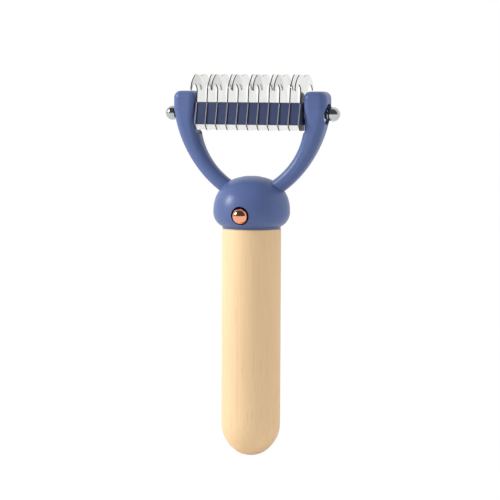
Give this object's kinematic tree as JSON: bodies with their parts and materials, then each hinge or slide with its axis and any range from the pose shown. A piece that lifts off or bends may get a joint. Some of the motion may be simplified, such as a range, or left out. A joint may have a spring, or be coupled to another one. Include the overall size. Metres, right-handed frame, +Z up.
{
  "type": "deshedding tool",
  "caption": "Pet deshedding rake: round wooden handle, blue dome with two curved arms, and a turning head of hooked steel blades on an axle with ball nuts.",
  "frame": {"origin": "on the handle's axis, halfway along its straight gripped part", "axes": "+Z up the handle to the blades, X along the axle, -Y to the front face with the copper stud"},
  "size_m": [0.0784, 0.0351, 0.164],
  "materials": {
    "wood": "pale beech dowel with fine straight grain, sanded, clear matt oil",
    "blue_plastic": "moulded, satin slate blue",
    "dark_blue_plastic": "moulded, satin slate blue, a little darker",
    "polished_steel": "stainless sheet, mirror polished, ground edges",
    "chrome": "polished plating",
    "copper": "polished copper plating",
    "brass": "plain turned brass",
    "zinc_steel": "bright zinc plated",
    "spring_steel": "plain spring steel",
    "nylon": "natural nylon"
  },
  "bodies": {
    "handle": {"wood_handle": "wood", "dome_hub": "blue_plastic", "left_arm": "blue_plastic", "right_arm": "blue_plastic", "arm_screws": "zinc_steel", "copper_stud": "copper", "threaded_insert": "brass", "left_bush": "nylon", "right_bush": "nylon"},
    "blade_head": {"axle_rod": "zinc_steel", "blade_01": "polished_steel", "blade_02": "polished_steel", "blade_03": "polished_steel", "blade_04": "polished_steel", "blade_05": "polished_steel", "blade_06": "polished_steel", "blade_07": "polished_steel", "blade_08": "polished_steel", "blade_09": "polished_steel", "blade_10": "polished_steel", "blade_11": "polished_steel", "spacer_01": "dark_blue_plastic", "spacer_02": "dark_blue_plastic", "spacer_03": "dark_blue_plastic", "spacer_04": "dark_blue_plastic", "spacer_05": "dark_blue_plastic", "spacer_06": "dark_blue_plastic", "spacer_07": "dark_blue_plastic", "spacer_08": "dark_blue_plastic", "spacer_09": "dark_blue_plastic", "spacer_10": "dark_blue_plastic", "left_end_spacer": "dark_blue_plastic", "right_end_spacer": "dark_blue_plastic", "left_cone_washer": "spring_steel", "right_cone_washer": "spring_steel", "left_ball_nut": "chrome", "right_ball_nut": "chrome"}
  },
  "joints": [
    {"name": "head_pivot", "type": "hinge", "parent": "handle", "child": "blade_head", "pos_m": [0, 0, 0.0911], "axis": [1, 0, 0], "range_deg": [-105, 105]}
  ]
}
